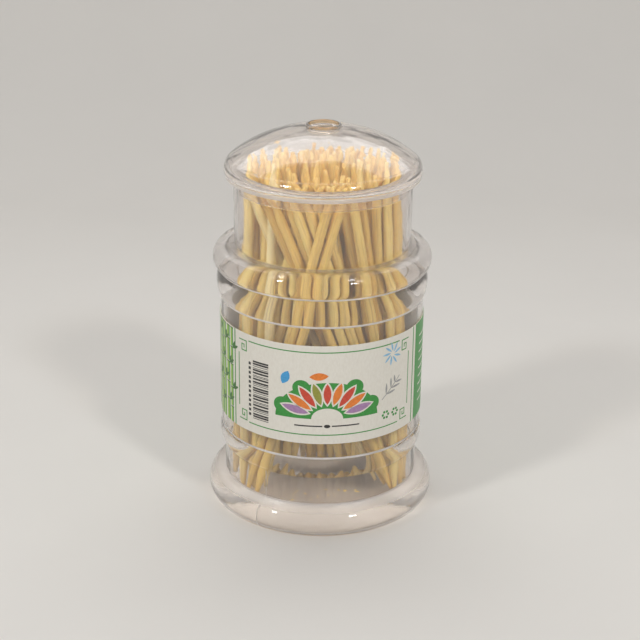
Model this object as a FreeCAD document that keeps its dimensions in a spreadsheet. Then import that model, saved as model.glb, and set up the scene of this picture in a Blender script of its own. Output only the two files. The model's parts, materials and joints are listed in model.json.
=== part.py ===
import FreeCAD, Part
import math
import os
import random
import re

import Sketcher

# A clear plastic toothpick dispenser: a jar, a domed lid with one small hole, a label and the
# toothpicks. Millimetres, +Z up, origin at the centre of the foot's underside, -Y is the front.

# ---------------------------------------------------------------- driving dimensions

SIZES = {
    # jar, from the table up: each band's radius at its widest, and its height
    "foot_radius": 22.4,
    "foot_height": 6.2,
    "foot_bulge": 3.1,
    "waist_radius": 19.1,
    "waist_height": 5.8,
    "lower_bead_radius": 20.0,
    "lower_bead_height": 4.4,
    "body_radius": 19.65,
    "body_height": 26.6,
    "upper_bead_radius": 20.4,
    "upper_bead_height": 5.4,
    "crease_radius": 19.8,
    "shoulder_bead_radius": 21.05,
    "shoulder_bead_height": 4.5,
    "shoulder_radius": 17.9,
    "shoulder_rise": 0.3,
    "neck_radius": 16.95,
    # plastic and underside of the jar
    "jar_wall": 0.8,
    "inside_bulge": 0.2,
    "floor_height": 4.6,
    "floor_thickness": 1.2,
    "foot_land": 2.1,
    "recess_slope": 0.8,
    # lid
    "lid_wall": 0.9,
    "seat_gap": 0.1,
    "plug_clearance": 0.08,
    "plug_depth": 2.2,
    "lip_radius": 18.7,
    "lip_height": 3.5,
    "lip_undercut": 0.4,
    "dome_radius": 17.85,
    "dome_rise": 5.75,
    "dome_fullness": 1.3,
    "collar_height": 0.75,
    "collar_width": 0.55,
    "hole_radius": 2.75,
    # label
    "label_thickness": 0.12,
    "label_glue": 0.05,
    "label_low_margin": 3.15,
    "label_top_margin": 3.6,
    "label_end_gap": 8.0,
    # toothpicks
    "pick_length": 65.0,
    "pick_radius": 0.95,
    "pick_tip_radius": 0.35,
    "pick_taper": 5.0,
    "pick_rise": 3.6,
    "pick_clearance": 0.05,
    "floor_clearance": 0.02,
    "dispense_clearance": 0.3,
    "wall_clearance": 0.1,
    "lid_clearance": 0.3,
    "fill_share": 0.364,
    # the free space that the fallen toothpicks leave at the front of the floor
    "front_space_radius": 14.5,
    "front_space_side": 1.5,
    "front_space_back": 16.5,
}

# Heights and radii that follow from the driving dimensions.
DERIVED = {
    "foot_middle": "foot_radius - foot_bulge",
    "recess_radius": "foot_middle - foot_land - recess_slope",
    "waist_top": "foot_height + waist_height",
    "body_bottom": "waist_top + lower_bead_height",
    "body_top": "body_bottom + body_height",
    "crease_level": "body_top + upper_bead_height",
    "shoulder_level": "crease_level + shoulder_bead_height",
    "neck_bottom": "shoulder_level + shoulder_rise",
    "jar_height": "floor_height + pick_length - pick_rise",
    "neck_bore": "neck_radius - jar_wall",
    "seat_level": "jar_height + seat_gap",
    "plug_radius": "neck_bore - plug_clearance",
    "plug_bore": "plug_radius - lid_wall",
    "plug_bottom": "seat_level - plug_depth",
    "lip_top": "seat_level + lip_height",
    "dome_top": "lip_top + dome_rise",
    "collar_top": "dome_top + collar_height",
    "collar_radius": "hole_radius + collar_width",
    "dome_mid_radius": "(dome_radius + collar_radius) / 2",
    "dome_mid_level": "(lip_top + dome_top) / 2 + dome_fullness",
    "label_radius": "body_radius + label_glue",
}

# The toothpicks' layers: the sector of the jar, in degrees, that each node's toothpicks stand in,
# and the layer's share of all the toothpicks.
LAYER_SECTOR = {"core": 90.0, "middle": 45.0, "outer": 30.0}
LAYER_SHARE = {"core": 0.2, "middle": 0.32, "outer": 0.48}

document = FreeCAD.newDocument("toothpick_dispenser")
sheet = document.addObject("Spreadsheet::Sheet", "Sizes")


def fill_sheet():
    """Write each driving dimension to the sheet as a number with an alias."""
    for row, (alias, number) in enumerate(SIZES.items(), start=1):
        sheet.set("A%d" % row, alias)
        sheet.set("B%d" % row, str(number))
        sheet.setAlias("B%d" % row, alias)
    document.recompute()


def bound(words):
    """Turn a formula in plain names into an expression on the sheet's aliases."""
    def name(match):
        word = match.group()
        if word in DERIVED:
            return "(%s)" % bound(DERIVED[word])
        return "Sizes." + word
    return re.sub(r"[a-z][a-z_]*", name, words)


def size(words):
    """Work out a formula in plain names, in millimetres or degrees."""
    return float(sheet.evalExpression(bound(words)))


# ---------------------------------------------------------------- sketches and bodies

def new_body(label):
    body = document.addObject("PartDesign::Body", label)
    body.Label = label
    return body


def half_section(body, outline):
    """Sketch a closed half section on the body's XZ plane, with every point bound to the sheet.

    The outline holds (radius, height) for a straight run to that point, and
    (radius on the arc, height on the arc, end radius, end height) for an arc.
    """
    plane = [item for item in body.Origin.OriginFeatures if item.Role == "XZ_Plane"][0]
    sketch = body.newObject("Sketcher::SketchObject", body.Label + "_section")
    sketch.AttachmentSupport = [(plane, "")]
    sketch.MapMode = "FlatFace"

    def vector(radius, height):
        return FreeCAD.Vector(size(radius), size(height), 0)

    def pin(curve, corner, radius, height):
        for kind, words, axis in (("DistanceX", radius, -2), ("DistanceY", height, -1)):
            if words == "0":
                sketch.addConstraint(Sketcher.Constraint("PointOnObject", curve, corner, axis))
                continue
            rule = Sketcher.Constraint(kind, -1, 1, curve, corner, size(words))
            sketch.setExpression("Constraints[%d]" % sketch.addConstraint(rule), bound(words))

    curves = []
    previous = outline[0][-2:]
    for step in outline[1:] + outline[:1]:
        end = step[-2:]
        if len(step) == 4:
            arc = Part.Arc(vector(*previous), vector(*step[:2]), vector(*end))
            curve = sketch.addGeometry(arc, False)
            on_arc = sketch.addGeometry(Part.Point(vector(*step[:2])), True)
            sketch.addConstraint(Sketcher.Constraint("PointOnObject", on_arc, 1, curve))
            pin(on_arc, 1, *step[:2])
        else:
            curve = sketch.addGeometry(Part.LineSegment(vector(*previous), vector(*end)), False)
        ends_forward = (sketch.getPoint(curve, 2) - vector(*end)).Length < 1e-6
        start_corner, end_corner = (1, 2) if ends_forward else (2, 1)
        if curves:
            joined = Sketcher.Constraint("Coincident", curves[-1][0], curves[-1][1], curve, start_corner)
            sketch.addConstraint(joined)
        pin(curve, end_corner, *end)
        curves.append((curve, end_corner, start_corner))
        previous = end
    last, first = curves[-1], curves[0]
    sketch.addConstraint(Sketcher.Constraint("Coincident", last[0], last[1], first[0], first[2]))
    return sketch


def turned(body, sketch, degrees="360"):
    """Turn a half section about the axis, half of the angle to each side of the sketch."""
    turn = body.newObject("PartDesign::Revolution", body.Label + "_turn")
    turn.Profile = sketch
    turn.ReferenceAxis = (sketch, ["V_Axis"])
    turn.Midplane = True
    turn.setExpression("Angle", bound(degrees))
    sketch.Visibility = False
    body.Tip = turn
    document.recompute()
    return turn


# ---------------------------------------------------------------- jar, lid and label

def make_jar():
    """One moulded shell: solid rounded foot, waist, beads, straight body and neck.

    The beads are thick: the inside bulges far less than the outside does.
    """
    body = new_body("jar_body")
    outside = [
        ("0", "floor_height - floor_thickness"),
        ("recess_radius", "floor_height - floor_thickness"),
        ("recess_radius + recess_slope", "0"),
        ("foot_middle", "0"),
        ("foot_radius", "foot_height / 2", "waist_radius", "foot_height"),
        ("waist_radius", "waist_top"),
        ("lower_bead_radius", "(waist_top + body_bottom) / 2", "body_radius", "body_bottom"),
        ("body_radius", "body_top"),
        ("upper_bead_radius", "(body_top + crease_level) / 2", "crease_radius", "crease_level"),
        ("shoulder_bead_radius", "(crease_level + shoulder_level) / 2",
         "shoulder_radius", "shoulder_level"),
        ("neck_radius", "neck_bottom"),
        ("neck_radius", "jar_height - jar_wall / 2"),
    ]
    rim = ("neck_radius - jar_wall / 2", "jar_height", "neck_bore", "jar_height - jar_wall / 2")
    inside = [
        ("neck_bore", "neck_bottom - jar_wall"),
        ("shoulder_radius", "shoulder_level - jar_wall"),
        ("crease_radius - jar_wall + inside_bulge", "(crease_level + shoulder_level) / 2",
         "crease_radius - jar_wall", "crease_level"),
        ("(crease_radius + body_radius) / 2 - jar_wall + inside_bulge", "(body_top + crease_level) / 2",
         "body_radius - jar_wall", "body_top"),
        ("body_radius - jar_wall", "body_bottom"),
        ("(body_radius + waist_radius) / 2 - jar_wall + inside_bulge", "(waist_top + body_bottom) / 2",
         "waist_radius - jar_wall", "waist_top"),
        ("waist_radius - jar_wall", "floor_height"),
        ("0", "floor_height"),
    ]
    turned(body, half_section(body, outside + [rim] + inside))
    return body


def make_lid():
    """One moulded shell: plug skirt, hollow rounded lip, dome and the collar round the hole."""
    body = new_body("lid")
    lip_middle = "seat_level + lip_height / 2"
    outline = [
        ("plug_radius", "plug_bottom"),
        ("plug_radius", "seat_level"),
        ("lip_radius - lip_undercut", "seat_level"),
        ("lip_radius", lip_middle, "dome_radius", "lip_top"),
        ("dome_mid_radius", "dome_mid_level", "collar_radius", "dome_top"),
        ("collar_radius", "collar_top - collar_width / 2"),
        ("hole_radius + collar_width / 2", "collar_top", "hole_radius", "collar_top - collar_width / 2"),
        ("hole_radius", "dome_top - lid_wall"),
        ("dome_mid_radius", "dome_mid_level - lid_wall", "dome_radius - lid_wall", "lip_top - lid_wall / 3"),
        ("lip_radius - lid_wall", lip_middle, "lip_radius - lip_undercut - lid_wall",
         "seat_level + lid_wall"),
        ("plug_bore", "seat_level + lid_wall"),
        ("plug_bore", "plug_bottom"),
    ]
    turned(body, half_section(body, outline))
    return body


def make_label():
    """A printed wrap on the straight body, open by a narrow gap at the back."""
    body = new_body("label")
    low, top = "body_bottom + label_low_margin", "body_top - label_top_margin"
    outline = [
        ("label_radius", low),
        ("label_radius + label_thickness", low),
        ("label_radius + label_thickness", top),
        ("label_radius", top),
    ]
    turned(body, half_section(body, outline), "360 - label_end_gap")
    body.Placement = FreeCAD.Placement(FreeCAD.Vector(), FreeCAD.Rotation(FreeCAD.Vector(0, 0, 1), -90))
    return body


def make_dispensed_pick():
    """The toothpick that stands on the axis under the lid's hole."""
    body = new_body("dispensed_toothpick")
    outline = [
        ("0", "0"),
        ("pick_tip_radius", "0"),
        ("pick_radius", "pick_taper"),
        ("pick_radius", "pick_length - pick_taper"),
        ("pick_tip_radius", "pick_length"),
        ("0", "pick_length"),
    ]
    turned(body, half_section(body, outline))
    body.setExpression("Placement.Base.z", bound("floor_height + floor_clearance"))
    return body


# ---------------------------------------------------------------- how the toothpicks lie

def closest(start_a, end_a, start_b, end_b):
    """Where two straight segments come nearest: a share along each, and the vector between."""
    ax, ay, az = end_a[0] - start_a[0], end_a[1] - start_a[1], end_a[2] - start_a[2]
    bx, by, bz = end_b[0] - start_b[0], end_b[1] - start_b[1], end_b[2] - start_b[2]
    rx, ry, rz = start_a[0] - start_b[0], start_a[1] - start_b[1], start_a[2] - start_b[2]
    aa = ax * ax + ay * ay + az * az
    bb = bx * bx + by * by + bz * bz
    ab = ax * bx + ay * by + az * bz
    ar = ax * rx + ay * ry + az * rz
    br = bx * rx + by * ry + bz * rz
    spread = aa * bb - ab * ab
    share_a = min(1.0, max(0.0, (ab * br - ar * bb) / spread)) if spread > 1e-9 * aa * bb else 0.5
    share_b = (ab * share_a + br) / bb
    if not 0.0 <= share_b <= 1.0:
        share_b = min(1.0, max(0.0, share_b))
        share_a = min(1.0, max(0.0, (ab * share_b - ar) / aa))
    away = (rx + ax * share_a - bx * share_b, ry + ay * share_a - by * share_b,
            rz + az * share_a - bz * share_b)
    return share_a, share_b, away


class Pick:
    """A toothpick's axis, from its lower tip on the floor to its upper tip."""

    def __init__(self, upper, lower):
        self.upper = list(upper)
        self.lower = list(lower)

    def span(self):
        """The levels of the lower and upper tips: the lean lifts the lower one off its edge."""
        across = math.dist(self.upper, self.lower)
        lower = TIP_LEVEL + PICK_TIP_RADIUS * across / PICK_LENGTH
        return lower, lower + math.sqrt(PICK_LENGTH ** 2 - across ** 2)

    def at(self, share):
        low, high = self.span()
        return (self.lower[0] + (self.upper[0] - self.lower[0]) * share,
                self.lower[1] + (self.upper[1] - self.lower[1]) * share,
                low + (high - low) * share)

    def push(self, share, x, y):
        """Move the point at this share of the length sideways, and the two tips with it."""
        weight = 1.0 / ((1 - share) ** 2 + share ** 2)
        self.lower[0] += x * (1 - share) * weight
        self.lower[1] += y * (1 - share) * weight
        self.upper[0] += x * share * weight
        self.upper[1] += y * share * weight

    def keep_within(self, share, limit):
        x, y, _ = self.at(share)
        radius = math.hypot(x, y)
        if radius > limit:
            self.push(share, x * (limit / radius - 1), y * (limit / radius - 1))


def thickness(share):
    """A toothpick's radius at a share of its length."""
    from_tip = min(share, 1 - share)
    if from_tip >= TAPER_SHARE:
        return PICK_RADIUS
    return PICK_TIP_RADIUS + (PICK_RADIUS - PICK_TIP_RADIUS) * max(0.0, from_tip) / TAPER_SHARE


def meetings(pick_a, pick_b):
    """The nearest places of two toothpicks: between their shanks, and between their tapered ends."""
    found = []
    for inset in (TAPER_SHARE, TAPER_SHARE / 2, 0.0):
        span = 1 - 2 * inset
        share_a, share_b, away = closest(pick_a.at(inset), pick_a.at(1 - inset),
                                         pick_b.at(inset), pick_b.at(1 - inset))
        found.append((inset + span * share_a, inset + span * share_b, away))
        if 0 < share_a < 1 and 0 < share_b < 1:
            break
    return found


def part_pair(pick_a, pick_b):
    """Push two toothpicks apart where they overlap, and return the deepest overlap."""
    deepest = 0.0
    for share_a, share_b, away in meetings(pick_a, pick_b):
        overlap = thickness(share_a) + thickness(share_b) + PICK_CLEARANCE - math.hypot(*away)
        if overlap <= 0:
            continue
        level = math.hypot(away[0], away[1]) or 1.0
        x, y = away[0] / level * overlap / 2, away[1] / level * overlap / 2
        pick_a.push(share_a, x, y)
        pick_b.push(share_b, -x, -y)
        deepest = max(deepest, overlap)
    return deepest


def hold_in_jar(pick):
    """Keep a toothpick inside the jar, the neck and the plug, off the axis and out of the front."""
    share, _, away = closest(pick.at(0), pick.at(1), (0, 0, TIP_LEVEL), (0, 0, TIP_LEVEL + PICK_LENGTH))
    short = 2 * PICK_RADIUS + DISPENSE_CLEARANCE - math.hypot(*away)
    if short > 0:
        level = math.hypot(away[0], away[1]) or 1.0
        pick.push(share, away[0] / level * short, away[1] / level * short)
    x, y = pick.lower[0] - FRONT_SPACE[0], pick.lower[1] - FRONT_SPACE[1]
    inside = 1 - math.hypot(x, y) / FRONT_SPACE_RADIUS
    if inside > 0:
        pick.push(0.0, x * inside / 2, y * inside / 2)
    pick.keep_within(0.0, WAIST_LIMIT)
    pick.keep_within(TAPER_SHARE, WAIST_LIMIT)
    low, high = pick.span()
    pick.keep_within((BODY_FLOOR - low) / (high - low), BODY_LIMIT)
    for level in (NECK_FLOOR, PLUG_FLOOR):
        if high > level:
            pick.keep_within((level - low) / (high - low), NECK_LIMIT)
    if high > PLUG_FLOOR:
        pick.keep_within((PLUG_FLOOR - low) / (high - low), PLUG_LIMIT)
        pick.keep_within(1 - TAPER_SHARE, PLUG_LIMIT)
        pick.keep_within(1.0, PLUG_LIMIT + PICK_RADIUS - PICK_TIP_RADIUS)
    else:
        pick.keep_within(1.0, NECK_LIMIT)


def neighbours(picks):
    """The pairs of toothpicks that come near enough to touch within the next few rounds."""
    reach = 2 * PICK_RADIUS + LOOK_AHEAD
    ends = [(pick.lower, pick.upper) for pick in picks]
    pairs = []
    for index, (lower_a, upper_a) in enumerate(ends):
        for other in range(index + 1, len(ends)):
            lower_b, upper_b = ends[other]
            x, y = lower_a[0] - lower_b[0], lower_a[1] - lower_b[1]
            turn_x, turn_y = upper_a[0] - upper_b[0] - x, upper_a[1] - upper_b[1] - y
            turn = turn_x * turn_x + turn_y * turn_y
            share = -(x * turn_x + y * turn_y) / turn if turn > 1e-9 else 0.0
            share = min(1.0, max(0.0, share))
            if math.hypot(x + turn_x * share, y + turn_y * share) < reach:
                pairs.append((picks[index], picks[other]))
    return pairs


def scattered_picks(count):
    """Toothpicks as they fall: tops spread evenly over the neck, each leaning its own way.

    The ones at the front left lean down to the right and those at the front right lean down to
    the left, so they cross at the waist of the bundle. The others lean either way at random.
    """
    chance = random.Random(FALL_SEED)
    golden_angle = 180 * (3 - math.sqrt(5))
    picks = []
    for index in range(1, count + 1):
        outward = math.sqrt(index / count)
        bearing = (golden_angle * index) % 360
        if outward > CROSSING_FROM and LEFT_CROSSING[0] < bearing < LEFT_CROSSING[1]:
            lean = chance.uniform(*CROSSING_LEAN)
        elif outward > CROSSING_FROM and RIGHT_CROSSING[0] <= bearing < RIGHT_CROSSING[1]:
            lean = -chance.uniform(*CROSSING_LEAN)
        else:
            lean = chance.uniform(*LOOSE_LEAN) * chance.choice((-1, 1))
        above, below = math.radians(bearing), math.radians(bearing + lean)
        upper = (NECK_LIMIT * outward * math.cos(above), NECK_LIMIT * outward * math.sin(above))
        lower = (WAIST_LIMIT * outward * math.cos(below), WAIST_LIMIT * outward * math.sin(below))
        picks.append(Pick(upper, lower))
    return picks


def settle(picks):
    """Push the toothpicks apart, and back inside the jar, until none overlaps another."""
    for step in range(SETTLE_ROUNDS):
        if step % ROUNDS_PER_LOOK == 0:
            pairs = neighbours(picks)
        deepest = max([part_pair(*pair) for pair in pairs] + [0.0])
        for pick in picks:
            hold_in_jar(pick)
        if deepest < SETTLED_OVERLAP:
            break


def clear_of(pick, others):
    """True where a toothpick overlaps none of the others."""
    for other in others:
        for share_a, share_b, away in meetings(pick, other):
            if thickness(share_a) + thickness(share_b) > math.hypot(*away):
                return False
    return True


def solid_pick(blank, pick):
    """A copy of the toothpick's solid, laid along its axis."""
    foot, head = FreeCAD.Vector(*pick.at(0)), FreeCAD.Vector(*pick.at(1))
    lay = FreeCAD.Placement(foot, FreeCAD.Rotation(FreeCAD.Vector(0, 0, 1), head - foot))
    solid = blank.copy()
    solid.Placement = lay.multiply(blank.Placement)
    return solid


def make_fill(blank):
    """The loose toothpicks, in one node for each part of each layer round the axis."""
    count = int(size("fill_share") * (size("neck_bore") / PICK_RADIUS) ** 2)
    picks = scattered_picks(count)
    settle(picks)
    fitting = []
    for pick in picks:
        if clear_of(pick, fitting):
            fitting.append(pick)
    nodes = []
    begin = 0
    total = len(fitting)
    share = 0.0
    for name, sector in LAYER_SECTOR.items():
        parts = round(360 / sector)
        share += LAYER_SHARE[name]
        end = round(total * share)
        layer = sorted(fitting[begin:end], key=lambda pick: math.atan2(pick.upper[1], pick.upper[0]))
        for part in range(parts):
            chosen = layer[len(layer) * part // parts:len(layer) * (part + 1) // parts]
            label = "toothpicks_%s_%d" % (name, part + 1)
            node = document.addObject("Part::Feature", label)
            node.Label = label
            node.Shape = Part.makeCompound([solid_pick(blank, pick) for pick in chosen])
            node.Placement = FreeCAD.Placement()
            nodes.append(node)
        begin = end
    print("toothpicks tried", count, "placed", total + 1)
    return nodes


# ---------------------------------------------------------------- build, check and write

fill_sheet()

# Limits for a toothpick's axis, worked out from the sheet.
PICK_LENGTH = size("pick_length")
PICK_RADIUS = size("pick_radius")
PICK_TIP_RADIUS = size("pick_tip_radius")
PICK_CLEARANCE = size("pick_clearance")
TAPER_SHARE = size("pick_taper / pick_length")
TIP_LEVEL = size("floor_height + floor_clearance")
DISPENSE_CLEARANCE = size("dispense_clearance")
WAIST_LIMIT = size("waist_radius - jar_wall - pick_radius - wall_clearance")
BODY_LIMIT = size("body_radius - jar_wall - pick_radius - wall_clearance")
BODY_FLOOR = size("body_bottom")
NECK_LIMIT = size("neck_bore - pick_radius - wall_clearance")
NECK_FLOOR = size("neck_bottom - jar_wall")
PLUG_LIMIT = size("plug_bore - pick_radius - lid_clearance")
PLUG_FLOOR = size("plug_bottom - lid_clearance")
FRONT_SPACE = (size("front_space_side"), -size("front_space_back"))
FRONT_SPACE_RADIUS = size("front_space_radius")

# How the toothpicks fall: bearings in degrees from +X, counter-clockwise seen from above.
FALL_SEED = 5
CROSSING_FROM = 0.5
LEFT_CROSSING = (190.0, 300.0)
RIGHT_CROSSING = (300.0, 335.0)
CROSSING_LEAN = (95.0, 140.0)
LOOSE_LEAN = (0.0, 60.0)
SETTLE_ROUNDS = 500
ROUNDS_PER_LOOK = 8
LOOK_AHEAD = 1.6
SETTLED_OVERLAP = 0.02

jar = make_jar()
lid = make_lid()
label = make_label()
dispensed = make_dispensed_pick()
pieces = [jar, lid, label, dispensed] + make_fill(dispensed.Tip.Shape)
document.recompute()

for item in document.Objects:
    if "Invalid" in item.State or "Error" in item.State:
        raise RuntimeError("failed to build: " + item.Label)

for piece in pieces:
    if piece.Shape.isNull() or not piece.Shape.isValid():
        raise RuntimeError("not a valid shape: " + piece.Label)

os.makedirs("parts", exist_ok=True)
for piece in pieces:
    piece.Shape.exportStep("parts/%s.step" % piece.Label)
    print(piece.Label, len(piece.Shape.Solids), round(piece.Shape.Volume, 1))
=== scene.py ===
import json
import math
import random

import bmesh
import bpy
from mathutils import Matrix, Vector, noise


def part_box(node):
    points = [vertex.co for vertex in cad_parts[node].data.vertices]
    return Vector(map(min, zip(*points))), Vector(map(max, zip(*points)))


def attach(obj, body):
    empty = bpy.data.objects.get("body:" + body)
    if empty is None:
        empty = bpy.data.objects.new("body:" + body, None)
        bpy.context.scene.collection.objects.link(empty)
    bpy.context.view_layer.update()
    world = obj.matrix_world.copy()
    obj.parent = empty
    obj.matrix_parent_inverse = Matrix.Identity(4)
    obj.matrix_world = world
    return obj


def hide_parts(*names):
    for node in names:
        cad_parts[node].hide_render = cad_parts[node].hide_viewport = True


# The looks of a clear toothpick dispenser: moulded jar and lid, printed label, bamboo toothpicks.
# Blender's unit is the metre; MM turns the sizes below, in millimetres, into it. -Y is the front.

MM = 0.001

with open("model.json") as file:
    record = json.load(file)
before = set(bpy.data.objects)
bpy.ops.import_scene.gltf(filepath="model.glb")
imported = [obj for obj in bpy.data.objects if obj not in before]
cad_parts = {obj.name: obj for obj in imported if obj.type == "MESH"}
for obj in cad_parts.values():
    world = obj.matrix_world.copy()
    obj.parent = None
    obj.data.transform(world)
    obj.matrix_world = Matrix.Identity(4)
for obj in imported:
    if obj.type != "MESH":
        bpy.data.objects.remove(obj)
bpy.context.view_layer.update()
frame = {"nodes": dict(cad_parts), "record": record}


# ---------------------------------------------------------------- helpers

def colour(red, green, blue):
    """A linear colour from the 0 to 255 values that a screen shows."""
    def linear(level):
        share = level / 255
        return share / 12.92 if share <= 0.04045 else ((share + 0.055) / 1.055) ** 2.4
    return (linear(red), linear(green), linear(blue), 1.0)


class Material:
    """A node material with one Principled shader, and short calls to add what drives it."""

    def __init__(self, name, **sockets):
        self.data = bpy.data.materials.new(name)
        self.data.use_nodes = True
        self.tree = self.data.node_tree
        self.shader = self.tree.nodes["Principled BSDF"]
        self.output = self.tree.nodes["Material Output"]
        for socket, value in sockets.items():
            self.shader.inputs[socket.replace("_", " ")].default_value = value

    def node(self, kind, **settings):
        made = self.tree.nodes.new("ShaderNode" + kind)
        for name, value in settings.items():
            setattr(made, name, value)
        return made

    def link(self, source, target):
        self.tree.links.new(source, target)

    def drive(self, socket, source):
        """Let a node's output drive one of the shader's own sockets."""
        self.link(source, self.shader.inputs[socket])

    def attribute(self, name, output="Fac"):
        return self.node("Attribute", attribute_name=name).outputs[output]

    def position(self, scale=(1, 1, 1)):
        """Object coordinates, stretched by a scale along each axis."""
        return self.stretched(self.node("TexCoord").outputs["Object"], scale)

    def axes(self):
        """Object coordinates as three numbers."""
        parts = self.node("SeparateXYZ")
        self.link(self.node("TexCoord").outputs["Object"], parts.inputs["Vector"])
        return parts.outputs

    def stretched(self, vector, scale):
        mapping = self.node("Mapping")
        mapping.inputs["Scale"].default_value = scale
        self.link(vector, mapping.inputs["Vector"])
        return mapping.outputs["Vector"]

    def noise(self, vector, scale, detail=3.0, roughness=0.5):
        made = self.node("TexNoise")
        made.inputs["Scale"].default_value = scale
        made.inputs["Detail"].default_value = detail
        made.inputs["Roughness"].default_value = roughness
        self.link(vector, made.inputs["Vector"])
        return made.outputs["Fac"]

    def ramp(self, fac, *stops):
        """A colour ramp with (place, colour) stops."""
        made = self.node("ValToRGB")
        elements = made.color_ramp.elements
        while len(elements) < len(stops):
            elements.new(0.5)
        for element, (place, shade) in zip(elements, stops):
            element.position = place
            element.color = shade
        self.link(fac, made.inputs["Fac"])
        return made.outputs["Color"]

    def feed(self, socket, value):
        """Set a socket to a value, or link it where the value is another node's output."""
        if isinstance(value, bpy.types.NodeSocket):
            self.link(value, socket)
        else:
            socket.default_value = value

    def mix(self, fac, first, second, blend="MIX"):
        """Mix two colours; the fac is a number or a socket."""
        made = self.node("Mix", data_type="RGBA", blend_type=blend)
        self.feed(made.inputs[0], fac)
        self.feed(made.inputs[6], first)
        self.feed(made.inputs[7], second)
        return made.outputs[2]

    def math(self, operation, first, second):
        made = self.node("Math", operation=operation)
        self.feed(made.inputs[0], first)
        self.feed(made.inputs[1], second)
        return made.outputs[0]

    def range(self, value, low, high):
        """A number between 0 and 1 turned into one between low and high."""
        made = self.node("MapRange")
        made.inputs["To Min"].default_value = low
        made.inputs["To Max"].default_value = high
        self.link(value, made.inputs["Value"])
        return made.outputs["Result"]

    def bump(self, height, distance, strength, under=None):
        made = self.node("Bump")
        made.inputs["Distance"].default_value = distance
        made.inputs["Strength"].default_value = strength
        self.link(height, made.inputs["Height"])
        if under is not None:
            self.link(under, made.inputs["Normal"])
        return made.outputs["Normal"]

    def let_lamps_through(self, tint):
        """Clear plastic lets the lamps' light through to what it holds."""
        clear = self.node("BsdfTransparent")
        clear.inputs["Color"].default_value = tint
        path = self.node("LightPath")
        mixed = self.node("MixShader")
        self.link(path.outputs["Is Shadow Ray"], mixed.inputs["Fac"])
        self.link(self.shader.outputs["BSDF"], mixed.inputs[1])
        self.link(clear.outputs["BSDF"], mixed.inputs[2])
        self.link(mixed.outputs["Shader"], self.output.inputs["Surface"])


def dress(node, material):
    """Give every material slot of a CAD node a new material."""
    for slot in frame["nodes"][node].material_slots:
        slot.material = material.data


def join_rings(mesh, rings, smooth=False):
    """Faces between each ring of points and the next."""
    for lower, upper in zip(rings, rings[1:]):
        for side in range(len(lower)):
            after = (side + 1) % len(lower)
            face = mesh.faces.new((lower[side], lower[after], upper[after], upper[side]))
            face.smooth = smooth


def to_data(mesh, name, face_outwards=False):
    """Mesh data from a bmesh, which is freed; its faces are first turned outwards where asked."""
    if face_outwards:
        bmesh.ops.recalc_face_normals(mesh, faces=mesh.faces[:])
    data = bpy.data.meshes.new(name)
    mesh.to_mesh(data)
    mesh.free()
    return data


def new_piece(name, mesh, material, body, face_outwards=True):
    """Make a piece from a bmesh, which rides on a body and takes the given material."""
    data = to_data(mesh, name, face_outwards)
    data.materials.append(material.data)
    piece = bpy.data.objects.new(name, data)
    bpy.context.scene.collection.objects.link(piece)
    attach(piece, body)
    return piece


# ---------------------------------------------------------------- clear plastic

PLASTIC_COLOUR = colour(247, 243, 241)
PLASTIC_IOR = 1.56
CLEAR_SHARE = 0.965
PALE_CLEAR_SHARE = 0.5
LAMP_TINT = colour(247, 245, 242)
PALE_LAMP_TINT = colour(241, 239, 236)

# How rubbed the plastic is at each height: (mm over the table, share) pairs. It is rubbed where the
# jar stands, at the foot's crease and at the beads' edges, and at the lid's lip and hole.
SCUFF_SPAN = 80.0
JAR_SCUFFS = ((0.0, 0.9), (0.5, 0.5), (0.9, 0.0), (5.1, 0.0), (5.6, 0.8), (6.25, 0.8), (6.5, 0.0),
              (47.9, 0.0), (48.4, 0.5), (48.9, 0.0), (52.4, 0.0), (53.1, 0.5), (53.6, 0.0))
LID_SCUFFS = ((65.9, 0.0), (66.1, 0.9), (66.8, 0.7), (67.3, 0.0), (75.2, 0.0), (75.9, 0.6))
SEAM_SCUFFS = ((0.0, 0.9), (SCUFF_SPAN, 0.9))
SCUFF_ROUGHNESS = 0.45

# How deep the moulding's waves are, in metres.
JAR_WAVE = 0.00035
LID_WAVE = 0.0007

# The painted reflection at the lid's hole, in amber: out to a radius, and up from a height.
HOLE_REFLECTION_TINT = colour(226, 186, 132)
HOLE_REFLECTION_RADIUS = 2.95
HOLE_REFLECTION_BOTTOM = 75.45


def scuffs(material, levels):
    """How rubbed the plastic is by height, from (height, share) pairs from the table upwards."""
    share = material.math("DIVIDE", material.axes()["Z"], SCUFF_SPAN * MM)
    stops = [(level / SCUFF_SPAN, (worn, worn, worn, 1.0)) for level, worn in levels]
    return material.ramp(share, *stops)


def clear_plastic(name, levels, wave=JAR_WAVE):
    """Moulded clear plastic: glossy, a little wavy and milky, rubbed at its edges and creases."""
    made = Material(name, Base_Color=PLASTIC_COLOUR, IOR=PLASTIC_IOR, Transmission_Weight=CLEAR_SHARE)
    waves = made.noise(made.position((1, 1, 0.6)), 110.0, 2.0)
    made.drive("Normal", made.bump(waves, wave, 0.5))
    smudges = made.range(made.noise(made.position(), 60.0, 4.0), 0.01, 0.06)
    rubbed = made.math("MULTIPLY", scuffs(made, levels), SCUFF_ROUGHNESS)
    made.drive("Roughness", made.math("ADD", smudges, rubbed))
    made.let_lamps_through(LAMP_TINT)
    return made


def paint_hole_reflection(material):
    """Painted reflection: an amber tint round the top of the lid's hole, as the photograph shows it."""
    axes = material.axes()
    across = material.math("POWER", axes["X"], 2.0)
    along = material.math("POWER", axes["Y"], 2.0)
    reach = material.math("POWER", material.math("ADD", across, along), 0.5)
    inside = material.math("LESS_THAN", reach, HOLE_REFLECTION_RADIUS * MM)
    above = material.math("GREATER_THAN", axes["Z"], HOLE_REFLECTION_BOTTOM * MM)
    reflection_mask = material.math("MULTIPLY", inside, above)
    material.drive("Base Color", material.mix(reflection_mask, PLASTIC_COLOUR, HOLE_REFLECTION_TINT))


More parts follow.
